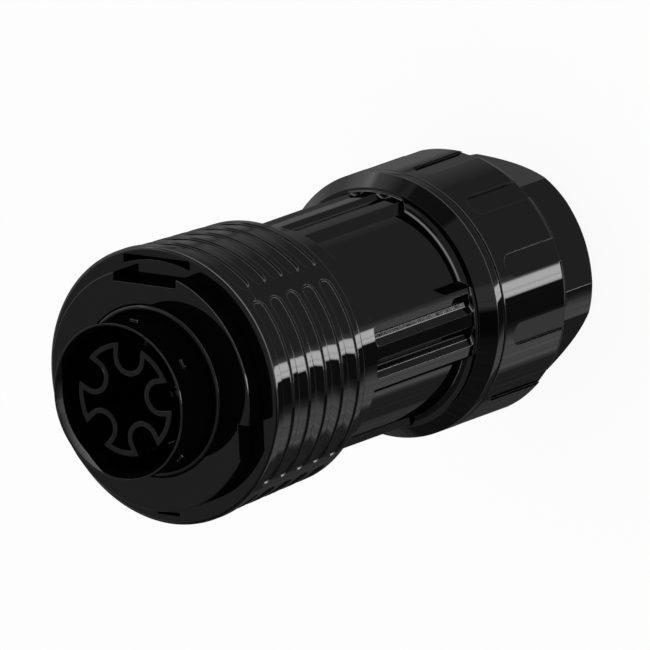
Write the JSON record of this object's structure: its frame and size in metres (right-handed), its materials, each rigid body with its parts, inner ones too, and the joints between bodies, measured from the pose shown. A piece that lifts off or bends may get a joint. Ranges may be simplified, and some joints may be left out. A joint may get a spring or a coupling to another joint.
{
  "type": "inline socket connector",
  "caption": "Round inline cable socket with a pull-back coupling sleeve, keyed collar, star-shaped contact carrier, flat-sided barrel and a screw cable gland.",
  "frame": {"origin": "centre of the gland nut's rear face, on which the connector stands", "axes": "+Z along the axis towards the mating face, +Y towards the wide key notch of the collar"},
  "size_m": [0.0432, 0.0432, 0.0996],
  "materials": {
    "housing_plastic": "polished black moulding",
    "insulator_plastic": "black moulding",
    "gland_plastic": "fine matt",
    "seal_rubber": "smooth",
    "contact_metal": "turned, silver plated",
    "spring_steel": "bright drawn",
    "screw_steel": "zinc plated"
  },
  "bodies": {
    "connector_body": {"socket_body": "housing_plastic", "insert_shroud": "housing_plastic", "contact_carrier": "insulator_plastic", "terminal_block": "insulator_plastic", "clamp_cage": "gland_plastic", "cable_seal": "seal_rubber", "seal_insert": "seal_rubber", "interface_seal": "seal_rubber", "insert_seal": "seal_rubber", "socket_contact_1": "contact_metal", "socket_contact_2": "contact_metal", "socket_contact_3": "contact_metal", "socket_contact_4": "contact_metal", "socket_contact_5": "contact_metal", "sleeve_spring": "spring_steel", "contact_springs": "spring_steel", "terminal_screws": "screw_steel"},
    "coupling_sleeve": {"coupling_sleeve": "housing_plastic"},
    "slip_ring": {"slip_ring": "gland_plastic"},
    "gland_nut": {"gland_nut": "housing_plastic"}
  },
  "joints": [
    {"name": "sleeve_pull", "type": "slide", "parent": "connector_body", "child": "coupling_sleeve", "axis": [0, 0, 1], "range_m": [-0.0045, 0], "stiffness_N_per_m": 1500, "springref_m": 0.003, "deforming": ["sleeve_spring"]},
    {"name": "gland_travel", "type": "slide", "parent": "connector_body", "child": "slip_ring", "axis": [0, 0, 1], "range_m": [-0.003, 0]},
    {"name": "gland_turn", "type": "hinge", "parent": "slip_ring", "child": "gland_nut", "pos_m": [0, 0, 0.0149], "axis": [0, 0, 1], "range_deg": [-675, 0]}
  ],
  "couplings": [
    {"joint": "gland_travel", "follows": "gland_turn", "m_per_rad": 0.00023873}
  ]
}
